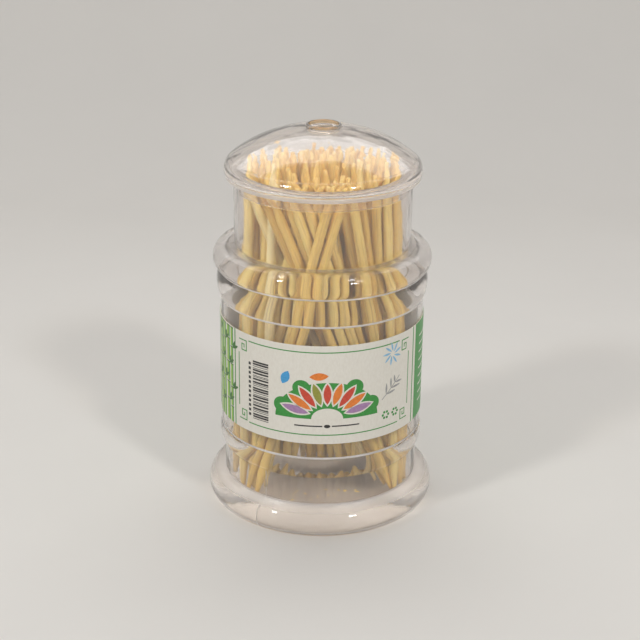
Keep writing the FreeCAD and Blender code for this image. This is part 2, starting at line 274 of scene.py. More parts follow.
def highlight_plastic():
    """The same plastic made pale and dull: the painted highlights along the jar's creases and lid's lip.
    """
    made = Material("painted_highlight_plastic", Roughness=0.35, IOR=PLASTIC_IOR,
                    Transmission_Weight=PALE_CLEAR_SHARE)
    cloud = made.noise(made.position(), 260.0, 3.0)
    made.drive("Base Color", made.ramp(cloud, (0.3, colour(237, 232, 229)), (0.7, colour(248, 246, 244))))
    made.let_lamps_through(PALE_LAMP_TINT)
    return made


# ---------------------------------------------------------------- painted highlight edges and mould seams

EDGE_SEGMENTS = 128

# The jar's bands, as its solid has them.
FOOT_HEIGHT = 6.2
FOOT_BULGE = 3.1
FOOT_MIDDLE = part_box("jar_body")[1][0] / MM - FOOT_BULGE
WAIST_RADIUS = 19.1
WAIST_TOP = 12.0
BODY_RADIUS = 19.65
BODY_BOTTOM, BODY_TOP = 16.4, 43.0
BEAD_CREASE = (19.8, 48.4)

# The creases between the bands: each one's radius and height, and the size of its pale painted highlight.
CREASES = ((WAIST_RADIUS, FOOT_HEIGHT), (BODY_RADIUS, BODY_BOTTOM), (BODY_RADIUS, BODY_TOP), BEAD_CREASE)
CREASE_DEPTH = 0.12
CREASE_PROUD = 0.08
CREASE_HALF = 0.2

# The lid's lip, and the pale painted highlight along its underside.
LIP_BOTTOM = 66.1
LIP_MIDDLE = 67.85
LIP_RADIUS = 18.7
LIP_CURVE = 4.0
EDGE_HEIGHT = 0.9
EDGE_THICKNESS = 0.3
EDGE_PROUD = 0.02
EDGE_STEPS = 4

# The parting line of the jar's mould: its two bearings, its ridge, the degrees that it runs round the
# foot's side, and its heights on the waist. The section's corners are (share of the width, distance
# out from the surface).
SEAM_BEARINGS = (-33.0, 147.0)
SEAM_WIDTH = 0.16
SEAM_HEIGHT = 0.05
SEAM_DEPTH = 0.1
SEAM_SECTION = ((-0.5, -SEAM_DEPTH), (0.5, -SEAM_DEPTH), (0.15, SEAM_HEIGHT), (-0.15, SEAM_HEIGHT))
SEAM_START, SEAM_TURN = -74, 158
SEAM_STEPS = 16
SEAM_ON_WAIST = (FOOT_HEIGHT + 0.3, WAIST_TOP - 0.2)


def revolve(mesh, section, smooth_sides):
    """Turn a closed section of (radius, height) points round the axis; its first sides are smooth."""
    rows = []
    for step in range(EDGE_SEGMENTS):
        turn = Matrix.Rotation(math.tau * step / EDGE_SEGMENTS, 3, "Z")
        rows.append([mesh.verts.new(turn @ Vector((0, -radius, height)) * MM)
                     for radius, height in section])
    for row, after in zip(rows, rows[1:] + rows[:1]):
        for index in range(len(section)):
            following = (index + 1) % len(section)
            face = mesh.faces.new((row[index], after[index], after[following], row[following]))
            face.smooth = index < smooth_sides


def add_crease_highlights(plastic):
    """A pale hair of plastic in each crease between the jar's bands: a painted highlight."""
    mesh = bmesh.new()
    for radius, height in CREASES:
        inner, outer = radius - CREASE_DEPTH, radius + CREASE_PROUD
        low, high = height - CREASE_HALF, height + CREASE_HALF
        revolve(mesh, [(outer, low), (outer, high), (inner, high), (inner, low)], 1)
    new_piece("jar_crease_highlights", mesh, plastic, "jar")


def add_lip_highlight(plastic):
    """A pale ring round the lip's lower edge, which follows the lip's curve: a painted highlight."""
    curve = []
    for step in range(EDGE_STEPS + 1):
        height = LIP_BOTTOM + EDGE_HEIGHT * step / EDGE_STEPS
        reach = math.sqrt(LIP_CURVE ** 2 - (LIP_MIDDLE - height) ** 2)
        curve.append((LIP_RADIUS - LIP_CURVE + reach, height - EDGE_PROUD))
    outside = [(radius + EDGE_PROUD, height) for radius, height in curve]
    inside = [(radius - EDGE_THICKNESS, height) for radius, height in reversed(curve)]
    mesh = bmesh.new()
    revolve(mesh, outside + inside, EDGE_STEPS)
    new_piece("lid_lip_highlight", mesh, plastic, "lid")


def seam_line():
    """The parting line's run up the foot and the waist: (radius, height, outward slope) in mm."""
    run = []
    for step in range(SEAM_STEPS + 1):
        angle = math.radians(SEAM_START + SEAM_TURN * step / SEAM_STEPS)
        height = FOOT_HEIGHT / 2 * (1 + math.sin(angle))
        run.append((FOOT_MIDDLE + FOOT_BULGE * math.cos(angle), height, angle))
    return run + [(WAIST_RADIUS, height, 0.0) for height in SEAM_ON_WAIST]


def add_seams():
    """A fine ridge at each side, where the two halves of the jar's mould met."""
    mesh = bmesh.new()
    for bearing in SEAM_BEARINGS:
        turn = Matrix.Rotation(math.radians(bearing), 3, "Z")
        rings = []
        for radius, height, slope in seam_line():
            outward = Vector((0, -math.cos(slope), math.sin(slope)))
            middle = Vector((0, -radius, height))
            corners = [middle + outward * out + Vector((side * SEAM_WIDTH, 0, 0))
                       for side, out in SEAM_SECTION]
            rings.append([mesh.verts.new(turn @ corner * MM) for corner in corners])
        join_rings(mesh, rings)
        mesh.faces.new(rings[0][::-1])
        mesh.faces.new(rings[-1])
    plastic = clear_plastic("mould_seam_plastic", SEAM_SCUFFS)
    new_piece("jar_mould_seams", mesh, plastic, "jar")


# ---------------------------------------------------------------- toothpicks

PICK_RADIUS = 0.95 * MM
PICK_TIP_RADIUS = 0.35 * MM
PICK_TAPER = 5.0 * MM
PICK_SIDES = 20
PICK_SEED = 11
SHANK_RINGS = 9
TAPER_RINGS = 6
WELD = 0.001 * MM
END_SLICE = 0.3 * MM

# How a toothpick's sides are worn: its full size as a share of its solid's, how long the worn spots
# and the bends of its flats are, how far its flats turn, how rough its cut ends are and how far
# their middles lie in.
FULL_SIZE = 0.99
WORN_LENGTH = 6 * MM
WORN_SCALE = 1.3
BEND_LENGTH = 14 * MM
BEND = 0.25
CUT_SCALE = 2
CUT_SHIFT = 1.7
CUT_ROUGHNESS = 0.35 * MM
END_HOLLOW = 0.15 * MM


def bamboo():
    """Sanded bamboo: a tone for each toothpick, fibres along it and darker tips."""
    made = Material("toothpick_bamboo")
    tone = made.attribute("tone")
    grain = made.attribute("grain", "Vector")
    base = made.ramp(tone, (0.0, colour(228, 190, 98)), (0.35, colour(244, 214, 124)),
                     (0.7, colour(251, 230, 150)), (1.0, colour(255, 243, 192)))
    fibre = made.noise(made.stretched(grain, (3.2, 3.2, 0.10)), 1.0, 5.0, 0.62)
    streak = made.ramp(fibre, (0.30, colour(150, 100, 42)), (0.48, colour(253, 243, 210)),
                       (0.75, colour(255, 251, 232)))
    shade = made.mix(0.45, base, streak, "MULTIPLY")
    fleck = made.noise(made.stretched(grain, (7.0, 7.0, 0.45)), 1.0, 2.0)
    flecked = made.ramp(fleck, (0.66, (0, 0, 0, 1)), (0.74, (0.5, 0.5, 0.5, 1)))
    shade = made.mix(flecked, shade, colour(150, 98, 48))
    darker = made.math("MULTIPLY", made.attribute("tip"), 0.35)
    made.drive("Base Color", made.mix(darker, shade, colour(206, 160, 92)))
    made.drive("Roughness", made.range(fibre, 0.42, 0.7))
    made.drive("Normal", made.bump(fibre, 0.00008, 0.8))
    made.shader.inputs["Subsurface Weight"].default_value = 0.10
    made.shader.inputs["Subsurface Radius"].default_value = (0.0012, 0.0007, 0.0003)
    made.shader.inputs["Subsurface Scale"].default_value = 1.0
    return made


def grain_layers(mesh):
    """The values at each point that the bamboo material reads."""
    return {
        "grain": mesh.verts.layers.float_vector.new("grain"),
        "tone": mesh.verts.layers.float.new("tone"),
        "tip": mesh.verts.layers.float.new("tip"),
    }


def islands(node):
    """The points of each separate solid in a CAD node, in the order of its mesh."""
    mesh = bmesh.new()
    mesh.from_mesh(frame["nodes"][node].data)
    bmesh.ops.remove_doubles(mesh, verts=mesh.verts[:], dist=WELD)
    mesh.verts.index_update()
    seen = set()
    found = []
    for start in mesh.verts:
        if start.index in seen:
            continue
        seen.add(start.index)
        reached = [start]
        for vert in reached:
            for edge in vert.link_edges:
                other = edge.other_vert(vert)
                if other.index not in seen:
                    seen.add(other.index)
                    reached.append(other)
        found.append([vert.co.copy() for vert in reached])
    mesh.free()
    return found


def pick_axis(points):
    """The lower and upper end of a toothpick's axis, from the points of its solid."""
    low = min(points, key=lambda point: point.z)
    high = max(points, key=lambda point: point.z)
    along = (high - low).normalized()
    for _ in range(3):
        places = [point.dot(along) for point in points]
        first, last = min(places), max(places)
        lower = [point for point, place in zip(points, places) if place < first + END_SLICE]
        upper = [point for point, place in zip(points, places) if place > last - END_SLICE]
        foot = sum(lower, Vector()) / len(lower)
        head = sum(upper, Vector()) / len(upper)
        along = (head - foot).normalized()
    return foot, head


def ring_places(length):
    """How far along a toothpick its rings are: close together on the tapers."""
    taper = [PICK_TAPER * step / TAPER_RINGS for step in range(TAPER_RINGS + 1)]
    shank = length - 2 * PICK_TAPER
    middle = [PICK_TAPER + shank * step / SHANK_RINGS for step in range(1, SHANK_RINGS)]
    return taper + middle + [length - place for place in reversed(taper)]


def draw_wear(chance):
    """What differs from one toothpick to the next."""
    return {
        "seed": Vector([chance.uniform(0, 200) for _ in range(3)]),
        "tone": min(1.0, max(0.0, chance.gauss(0.52, 0.24))),
        "spin": chance.uniform(0, math.tau),
        "facets": chance.choice((5, 6, 7, 8)),
        "sharpness": chance.uniform(0.35, 0.95),
        "wear": chance.uniform(0.02, 0.06),
    }


def ring_corners(wear, place, length):
    """The corners of one ring round a toothpick's axis: worn flats, and a rough cut at each end."""
    seed, facets = wear["seed"], wear["facets"]
    from_tip = min(place, length - place) / PICK_TAPER
    radius = PICK_TIP_RADIUS + (PICK_RADIUS - PICK_TIP_RADIUS) * min(1.0, from_tip)
    bend = BEND * noise.noise(Vector((place / BEND_LENGTH, 0, 0)) + seed)
    corners = []
    for side in range(PICK_SIDES):
        turned = math.tau * side / PICK_SIDES
        angle = wear["spin"] + turned
        around = Vector((math.cos(angle), math.sin(angle), place / WORN_LENGTH))
        worn = 0.5 + 0.5 * noise.noise(around * WORN_SCALE + seed)
        within = (turned + bend) % (math.tau / facets) - math.pi / facets
        flat = math.cos(math.pi / facets) / math.cos(within)
        edge = radius * (FULL_SIZE - wear["sharpness"] * (1 - flat) - wear["wear"] * worn)
        cut = 0.0
        if from_tip == 0:
            cut = CUT_ROUGHNESS * abs(noise.noise(around * CUT_SCALE + seed * CUT_SHIFT))
        inward = cut if place == 0 else -cut
        corners.append(Vector((edge * math.cos(angle), edge * math.sin(angle), place + inward)))
    return corners


def add_pick(mesh, layers, foot, head, chance):
    """Add one toothpick: never thicker than its solid, with flats and a rough cut at each end."""
    wear = draw_wear(chance)
    length = (head - foot).length
    turn = (head - foot).to_track_quat("Z", "Y").to_matrix()

    def add_point(spot, grain, tip):
        vert = mesh.verts.new(spot)
        vert[layers["grain"]] = grain
        vert[layers["tone"]] = wear["tone"]
        vert[layers["tip"]] = tip
        return vert

    rings = []
    for place in ring_places(length):
        tip = 1 - min(1.0, min(place, length - place) / PICK_TAPER)
        rings.append([add_point(foot + turn @ corner, corner / MM + wear["seed"], tip)
                      for corner in ring_corners(wear, place, length)])
    join_rings(mesh, rings, smooth=True)
    for ring, inward, flip in ((rings[0], END_HOLLOW, True), (rings[-1], -END_HOLLOW, False)):
        middle = sum((vert.co for vert in ring), Vector()) / PICK_SIDES
        hub = add_point(middle + turn @ Vector((0, 0, inward)), wear["seed"], 1.0)
        for side in range(PICK_SIDES):
            corners = (ring[side], ring[(side + 1) % PICK_SIDES], hub)
            mesh.faces.new(corners[::-1] if flip else corners)


def dress_toothpicks(wood):
    """Model each toothpick where its solid is; a node's toothpicks stay one piece."""
    chance = random.Random(PICK_SEED)
    bodies = frame["record"]["behaviour"]["bodies"].items()
    body_of = {node: body for body, nodes in bodies for node in nodes}
    for node in sorted(frame["nodes"]):
        if "toothpick" not in node:
            continue
        mesh = bmesh.new()
        layers = grain_layers(mesh)
        for points in islands(node):
            add_pick(mesh, layers, *pick_axis(points), chance)
        piece = new_piece(node + "_bamboo", mesh, wood, body_of[node], False)
        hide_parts(node)


# ---------------------------------------------------------------- splinters on the jar's floor

DUST_COUNT = 16
DUST_SEED = 4
DUST_LEVEL = 4.6 * MM
DUST_SIZE = (0.12 * MM, 0.3 * MM)
DUST_ACROSS = (-8 * MM, 8 * MM)
DUST_ALONG = (-14.5 * MM, -9 * MM)
DUST_STRETCH = (1.2, 2.6)
DUST_FLATNESS = 0.45
DUST_GRAIN = 3
DUST_TONE = 0.6


def add_dust(wood):
    """A few splinters that have fallen to the floor at the front of the jar."""
    chance = random.Random(DUST_SEED)
    mesh = bmesh.new()
    layers = grain_layers(mesh)
    for _ in range(DUST_COUNT):
        size = chance.uniform(*DUST_SIZE)
        made = bmesh.ops.create_icosphere(mesh, subdivisions=1, radius=1)["verts"]
        turn = Matrix.Rotation(chance.uniform(0, math.pi), 3, "Z")
        across, along = chance.uniform(*DUST_ACROSS), chance.uniform(*DUST_ALONG)
        spot = Vector((across, along, DUST_LEVEL + size / 2))
        sizes = (size * chance.uniform(*DUST_STRETCH), size, size * DUST_FLATNESS)
        shape = turn @ Matrix.Diagonal(sizes)
        for vert in made:
            vert[layers["grain"]] = vert.co * DUST_GRAIN
            vert[layers["tone"]] = DUST_TONE
            vert.co = spot + shape @ vert.co
    new_piece("bamboo_dust", mesh, wood, "jar", False)


# ---------------------------------------------------------------- paper, ink and outlines

LABEL_LOW, LABEL_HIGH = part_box("label")
LABEL_RADIUS = LABEL_HIGH[0] / MM
LABEL_BOTTOM = LABEL_LOW[2] / MM
LABEL_TOP = LABEL_HIGH[2] / MM

# How far ink stands out from the paper, how much further for each layer over another, how deep
# it reaches into the paper, and the widest step of its curve round the label.
INK_HEIGHT = 0.02
INK_OVERLAP = 0.012
INK_DEPTH = 0.04
CURVE_STEP = 1.0


def paper():
    """Coated cream paper with a faint mottle, glued down not quite flat."""
    made = Material("label_paper", Roughness=0.42, Coat_Weight=0.15, Coat_Roughness=0.25)
    mottle = made.noise(made.position((1, 1, 0.5)), 2600.0, 3.0)
    made.drive("Base Color", made.ramp(mottle, (0.3, colour(229, 224, 212)), (0.7, colour(235, 231, 220))))
    ripple = made.noise(made.position((1, 1, 0.4)), 120.0, 2.0)
    fine = made.bump(mottle, 0.00002, 0.5)
    made.drive("Normal", made.bump(ripple, 0.0003, 0.3, fine))
    return made


def ink(name, shade, depth=0.1):
    """Printed ink: a little uneven, with the paper's gloss."""
    made = Material(name, Roughness=0.4, Coat_Weight=0.15, Coat_Roughness=0.25)
    mottle = made.noise(made.position(), 2200.0, 3.0)
    lighter = tuple(min(1.0, level * (1 + depth) + depth / 10) for level in shade[:3]) + (1.0,)
    darker = tuple(level * (1 - depth) for level in shade[:3]) + (1.0,)
    made.drive("Base Color", made.ramp(mottle, (0.3, darker), (0.7, lighter)))
    return made


def printed(name, outlines, material, layer=0):
    """Wrap flat outlines round the label as thin ink: (mm round from the front, mm up) corners.

    An ink that lies over another one has a higher layer, and stands a hair further out.
    """
    mesh = bmesh.new()
    for outline in outlines:
        mesh.faces.new([mesh.verts.new((across, up, 0)) for across, up in outline])
    bmesh.ops.triangulate(mesh, faces=mesh.faces[:], ngon_method="EAR_CLIP")
    lowest = min(vert.co.x for vert in mesh.verts)
    highest = max(vert.co.x for vert in mesh.verts)
    cut = math.ceil(lowest / CURVE_STEP) * CURVE_STEP
    while cut < highest:
        everything = mesh.verts[:] + mesh.edges[:] + mesh.faces[:]
        bmesh.ops.bisect_plane(mesh, geom=everything, plane_co=(cut, 0, 0), plane_no=(1, 0, 0))
        cut += CURVE_STEP
    raised = bmesh.ops.extrude_face_region(mesh, geom=mesh.faces[:])["geom"]
    for vert in raised:
        if isinstance(vert, bmesh.types.BMVert):
            vert.co.z = 1
    for vert in mesh.verts:
        across, up, outside = vert.co
        radius = LABEL_RADIUS + (INK_HEIGHT + layer * INK_OVERLAP if outside else -INK_DEPTH)
        angle = across / LABEL_RADIUS
        vert.co = Vector((radius * math.sin(angle), -radius * math.cos(angle), up)) * MM
    new_piece(name, mesh, material, "jar")


def rectangle(left, bottom, right, top):
    return [(left, bottom), (right, bottom), (right, top), (left, top)]


def stroke(points, width):
    """Straight strokes of one width along a line of points, each as its own rectangle."""
    shapes = []
    for (x0, y0), (x1, y1) in zip(points, points[1:]):
        length = math.hypot(x1 - x0, y1 - y0)
        dx, dy = (x1 - x0) / length * width / 2, (y1 - y0) / length * width / 2
        shapes.append([(x0 - dx + dy, y0 - dy - dx), (x1 + dx + dy, y1 + dy - dx),
                       (x1 + dx - dy, y1 + dy + dx), (x0 - dx - dy, y0 - dy + dx)])
    return shapes


def oval(x, y, wide, high, steps=28):
    """An ellipse, by its half width and half height."""
    angles = [math.tau * step / steps for step in range(steps)]
    return [(x + wide * math.cos(angle), y + high * math.sin(angle)) for angle in angles]


def arch(x, y, wide, high, steps):
    """The upper half of an ellipse."""
    angles = [math.pi * step / steps for step in range(steps + 1)]
    return [(x + wide * math.cos(angle), y + high * math.sin(angle)) for angle in angles]


LEAF_STEPS = 8


def leaf(x, y, length, width, tilt):
    """A pointed leaf that grows from a point, at a tilt in degrees."""
    lean = math.radians(tilt)
    ends = range(LEAF_STEPS + 1)
    halves = [width / 2 * math.sin(math.pi * step / LEAF_STEPS) ** 0.8 for step in ends]
    shape = [(length * step / LEAF_STEPS, halves[step]) for step in ends]
    shape += [(length * step / LEAF_STEPS, -halves[step]) for step in range(LEAF_STEPS - 1, 0, -1)]
    return [(x + a * math.cos(lean) - b * math.sin(lean), y + a * math.sin(lean) + b * math.cos(lean))
            for a, b in shape]


# ---------------------------------------------------------------- the label's print
#
# Places are mm round the label from the middle of its front, and mm over the table.

FRAME_LINE = 0.2
FRAME_LEFT, FRAME_RIGHT = -17.9, 19.3
FRAME_LOW, FRAME_HIGH = 21.3, 38.0
FRAME_CORNER = 2.9
FRET_INSET = 0.1
FRET = ((0, 0), (2.0, 0), (2.0, 2.0), (0.7, 2.0), (0.7, 0.8), (1.35, 0.8), (1.35, 1.4))

STRIP_EDGE, STRIP_END = -19.3, -27.2
PANEL_EDGE, PANEL_END = 22.3, 56.0
FINE_LINE = 0.28
SIDE_LINES = (STRIP_EDGE, PANEL_EDGE - 1.2, STRIP_END - 1.6)


def print_frame(inks):
    """The thin frame line with a fret in each corner, and the fine lines beside the two panels."""
    shapes = []
    for y in (FRAME_LOW, FRAME_HIGH):
        shapes.append(rectangle(FRAME_LEFT + FRAME_CORNER, y, FRAME_RIGHT - FRAME_CORNER, y + FRAME_LINE))
    for x in (FRAME_LEFT, FRAME_RIGHT):
        shapes.append(rectangle(x, FRAME_LOW + FRAME_CORNER, x + FRAME_LINE, FRAME_HIGH - FRAME_CORNER))
    inset = FRAME_LINE + FRET_INSET
    for x, right in ((FRAME_LEFT + inset, 1), (FRAME_RIGHT - FRET_INSET, -1)):
        for y, up in ((FRAME_LOW + inset, 1), (FRAME_HIGH - FRET_INSET, -1)):
            shapes += stroke([(x + right * a, y + up * b) for a, b in FRET], FRAME_LINE)
    for x in SIDE_LINES:
        shapes.append(rectangle(x, LABEL_BOTTOM, x + FINE_LINE, LABEL_TOP))
    printed("label_frame_print", shapes, inks["green"])


# The stalks' middles and widths. Their joints' lengths shift from stalk to stalk and from joint to
# joint, each has a dark line at its top, and every other one has leaves.
STALKS = ((-20.4, 0.9), (-21.9, 1.25), (-23.7, 1.0), (-25.2, 1.3), (-26.6, 0.8))
JOINT_LENGTH, JOINT_SPREAD = 3.4, 1.9
STALK_SHIFT, JOINT_SHIFT = 1.3, 0.7
JOINT_GAP, JOINT_LINE, JOINT_OVERHANG = 0.15, 0.21, 0.1
SHADE_START = 0.15
STALK_LEAF = (1.9, 0.6)
STALK_LEAF_TILTS = (25, 62)
STALK_LEAF_TURN = 8
STALK_LEAF_DROP, STALK_LEAF_ROOM = 0.3, 1


def print_stalks(inks):
    """A strip of upright stalks in joints, each with a shaded side, and some leaves."""
    bright, shaded, lines, leaves = [], [], [], []
    for index, (x, wide) in enumerate(STALKS):
        left, right, shade = x - wide / 2, x + wide / 2, x + wide * SHADE_START
        y, step = LABEL_BOTTOM, 0
        while y < LABEL_TOP:
            shift = (index * STALK_SHIFT + step * JOINT_SHIFT) % JOINT_SPREAD
            top = min(LABEL_TOP, y + JOINT_LENGTH + shift)
            end = top - JOINT_GAP
            bright.append(rectangle(left, y, shade, end))
            shaded.append(rectangle(shade, y, right, end))
            lines.append(rectangle(left - JOINT_OVERHANG, end - JOINT_LINE, right + JOINT_OVERHANG, end))
            if (step + index) % 2 and top < LABEL_TOP - STALK_LEAF_ROOM:
                for tilt in STALK_LEAF_TILTS:
                    turned = tilt + STALK_LEAF_TURN * index
                    leaves.append(leaf(right, top - STALK_LEAF_DROP, *STALK_LEAF, turned))
            y = top
            step += 1
    printed("label_stalks_print", bright, inks["leaf_green"])
    printed("label_stalks_shade_print", shaded, inks["green"])
    printed("label_joints_print", lines, inks["dark_green"], 1)
    printed("label_leaves_print", leaves, inks["dark_green"], 2)


BARS_LEFT, BARS_RIGHT = -13.9, -10.3
BARS_LOW, BARS_HIGH = 22.6, 34.6
BAR_THIN, BAR_STEP = 0.12, 0.11
GAP_THIN, GAP_STEP = 0.13, 0.09
TICKS, TICK_PITCH = 12, 0.95
TICK_LEFT, TICK_LOW, TICK_SIDE = -15.0, 23.0, 0.55


def print_bars(inks):
    """A block of plain bars in place of the code, and plain ticks in place of its figures."""
    shapes = []
    y, index = BARS_LOW, 0
    while y < BARS_HIGH:
        thick = BAR_THIN + BAR_STEP * ((index * 7 + index * index * 3) % 4)
        shapes.append(rectangle(BARS_LEFT, y, BARS_RIGHT, y + thick))
        y += thick + GAP_THIN + GAP_STEP * ((index * 5 + 1) % 3)
        index += 1
    for tick in range(TICKS):
        low = TICK_LOW + TICK_PITCH * tick
        shapes.append(rectangle(TICK_LEFT, low, TICK_LEFT + TICK_SIDE, low + TICK_SIDE))
    printed("label_bars_print", shapes, inks["black"])


# The emblem: the middle of its base, its half width and height, its lobes' places from there and
# their size, its blades from right to left, the arch that they grow from, and the bare half round
# in its middle.
EMBLEM_X, EMBLEM_Y = 1.2, 24.7
EMBLEM_SIZE = (10.0, 7.4)
LOBES = ((-8.6, 2.4), (8.6, 2.4), (-4.9, 6.2), (5.2, 6.2))
LOBE_SIZE = (1.7, 1.6)
BLADES = ("violet", "orange", "red", "orange", "red", "olive", "red", "orange", "violet")
BLADE_TILT, BLADE_PITCH = 14, 19
BLADE_LENGTH, BLADE_WIDTH = 4.2, 1.45
BLADE_STRETCH = 0.28
FAN_WIDE, FAN_HIGH, FAN_RISE = 3.6, 2.4, 0.6
OUTLINE_LENGTH, OUTLINE_WIDTH = 0.9, 2.1
MIDDLE_SIZE = (3.0, 2.2)

# The rule under the emblem, and the two drops over it.
RULE_LOW, RULE_HIGH = 23.1, 23.35
RULE_NEAR, RULE_FAR = 0.9, 6.2
RULE_DOT = (EMBLEM_X, 23.22, 0.6, 0.36, 12)
BLUE_DROP = (EMBLEM_X - 8.6, 31.4, 2.9, 1.7, 66)
ORANGE_DROP = (EMBLEM_X - 3.4, 33.2, 3.6, 1.5, 4)


def print_emblem(inks):
    """A fan of outlined blades on a green half round, with a plain rule under it."""
    x, y = EMBLEM_X, EMBLEM_Y
    lobes = [oval(x + across, y + up, *LOBE_SIZE) for across, up in LOBES]
    printed("label_emblem_print", [arch(x, y, *EMBLEM_SIZE, 40)], inks["green"])
    printed("label_emblem_lobes_print", lobes, inks["green"], 0.5)
    blades = {"orange": [], "red": [], "violet": [], "olive": []}
    outlines = []
    for index, name in enumerate(BLADES):
        tilt = BLADE_TILT + BLADE_PITCH * index
        across, up = math.cos(math.radians(tilt)), math.sin(math.radians(tilt))
        length = BLADE_LENGTH * (1 + BLADE_STRETCH * abs(across))
        start = (x + FAN_WIDE * across, y + FAN_RISE + FAN_HIGH * up)
        behind = (start[0] - OUTLINE_LENGTH / 2 * across, start[1] - OUTLINE_LENGTH / 2 * up)
        outlines.append(leaf(*behind, length + OUTLINE_LENGTH, OUTLINE_WIDTH, tilt))
        blades[name].append(leaf(*start, length, BLADE_WIDTH, tilt))
    printed("label_blade_outlines_print", outlines, inks["cream"], 1)
    for name, shapes in blades.items():
        printed("label_%s_blades_print" % name, shapes, inks[name], 2)
    printed("label_emblem_middle_print", [arch(x, y, *MIDDLE_SIZE, 20)], inks["cream"], 1)
    rule = [rectangle(x - RULE_FAR, RULE_LOW, x - RULE_NEAR, RULE_HIGH),
            rectangle(x + RULE_NEAR, RULE_LOW, x + RULE_FAR, RULE_HIGH), oval(*RULE_DOT)]
    printed("label_rule_print", rule, inks["black"])
    printed("label_blue_drop_print", [leaf(*BLUE_DROP)], inks["blue"])
    printed("label_orange_drop_print", [leaf(*ORANGE_DROP)], inks["orange"])


# The whorl's middle, petals and their size; the frond's stalk and leaves; the rings of dots.
WHORL_X, WHORL_Y, WHORL_RADIUS = 14.6, 36.0, 0.5
WHORL_PETALS, WHORL_LEAN = 9, 24
WHORL_PETAL = (1.9, 0.42)
FROND_STALK = ((12.3, 27.2), (14.4, 29.0), (16.6, 31.0))
FROND_LINE = 0.14
FROND_LEAF_WIDTH = 0.42
FROND_LEAVES = ((13.2, 28.0, 2.3, 88), (14.4, 29.0, 2.2, 92), (15.4, 29.9, 1.6, 96),
                (13.2, 28.0, 2.4, 10), (14.4, 29.0, 2.5, 6), (15.4, 29.9, 2.0, 2))
RING_PLACES, RING_LEVEL = (13.2, 15.6), 23.8
RING_RADIUS, RING_DOTS, DOT_RADIUS = 0.66, 6, 0.27


def print_small_ornaments(inks):
    """A pale whorl, a thin grey frond and two green rings of dots at the right."""
    whorl = []
    for step in range(WHORL_PETALS):
        turn = step * math.tau / WHORL_PETALS
        x, y = WHORL_X + WHORL_RADIUS * math.cos(turn), WHORL_Y + WHORL_RADIUS * math.sin(turn)
        whorl.append(leaf(x, y, *WHORL_PETAL, math.degrees(turn) + WHORL_LEAN))
    printed("label_whorl_print", whorl, inks["sky"])
    frond = stroke(FROND_STALK, FROND_LINE)
    frond += [leaf(x, y, length, FROND_LEAF_WIDTH, tilt) for x, y, length, tilt in FROND_LEAVES]
    printed("label_frond_print", frond, inks["grey"])
    dots = []
    for middle in RING_PLACES:
        for x, y in oval(middle, RING_LEVEL, RING_RADIUS, RING_RADIUS, RING_DOTS):
            dots.append(oval(x, y, DOT_RADIUS, DOT_RADIUS, 8))
    printed("label_dots_print", dots, inks["green"])


PANELS = ((PANEL_EDGE, PANEL_END), (-PANEL_END, STRIP_END - 2.6))
PANEL_MARGIN = 2.2
PANEL_RULES, PANEL_RULE_LOW, PANEL_RULE_PITCH = 9, 22.6, 1.7
PANEL_RULE_STEP = 2.5


def print_panels(inks):
    """A green panel at each side, with fine pale rules in place of words."""
    panels = [rectangle(left, LABEL_BOTTOM, right, LABEL_TOP) for left, right in PANELS]
    printed("label_panels_print", panels, inks["green"])
    rules = []
    for left, right in PANELS:
        for row in range(PANEL_RULES):
            y = PANEL_RULE_LOW + PANEL_RULE_PITCH * row
            end = right - PANEL_MARGIN - (row * 5) % 4 * PANEL_RULE_STEP
            rules.append(rectangle(left + PANEL_MARGIN, y, end, y + FINE_LINE))
    printed("label_panel_rules_print", rules, inks["cream"], 1)


INKS = {
    "green": (52, 146, 58),
    "dark_green": (58, 110, 40),
    "leaf_green": (148, 188, 70),
    "olive": (150, 150, 60),
    "orange": (232, 128, 44),
    "red": (206, 70, 48),
    "violet": (168, 130, 172),
    "blue": (66, 158, 214),
    "sky": (140, 190, 220),
    "grey": (160, 160, 158),
    "black": (40, 38, 38),
}


def dress_label():
    """The paper and all that is printed on it."""
    dress("label", paper())
    inks = {name: ink("ink_" + name, colour(*shade)) for name, shade in INKS.items()}
    inks["cream"] = ink("ink_cream", colour(232, 228, 216), 0.02)
    print_frame(inks)
    print_stalks(inks)
    print_bars(inks)
    print_emblem(inks)
    print_small_ornaments(inks)
    print_panels(inks)


# ---------------------------------------------------------------- stage, light and camera

ELEVATION = math.radians(21.8)
DISTANCE = 0.290
AIM = Vector((-0.00033, 0.0, 0.0367))
ROLL = math.radians(0.6)
LENS = 83.36

# Lamps: bearing to the right of the front and height in degrees, distance, width and depth in
# metres, and power in watts. The small ones make the glints, and the large one the dome's veil.
LAMPS = {
    "lamp_left": (-50, 38, 0.9, 0.09, 0.09, 1.8),
    "lamp_right": (37, 38, 0.9, 0.08, 0.08, 1.7),
    "lamp_above": (180, 52, 1.15, 1.7, 0.8, 6.2),
}

# The floor and the backdrop, in metres.
WALL_PLACE = 0.30
COVE_RADIUS = 0.12
COVE_STEPS = 12
STAGE_HALF_WIDTH = 3.0
WALL_HEIGHT = 0.25
STAGE_COLOUR = colour(226, 222, 216)
STAGE_SPREAD = 0.02

WORLD_LIGHT = (0.97, 0.98, 1.0, 1.0)
WORLD_STRENGTH = 0.4
WORLD_SEEN = colour(206, 203, 198)


def add_camera():
    data = bpy.data.cameras.new("camera")
    data.lens = LENS
    camera = bpy.data.objects.new("camera", data)
    bpy.context.scene.collection.objects.link(camera)
    back = Vector((0, -math.cos(ELEVATION), math.sin(ELEVATION)))
    tilt = Matrix.Rotation(math.pi / 2 - ELEVATION, 4, "X") @ Matrix.Rotation(ROLL, 4, "Z")
    camera.matrix_world = Matrix.Translation(AIM + back * DISTANCE) @ tilt
    bpy.context.scene.camera = camera


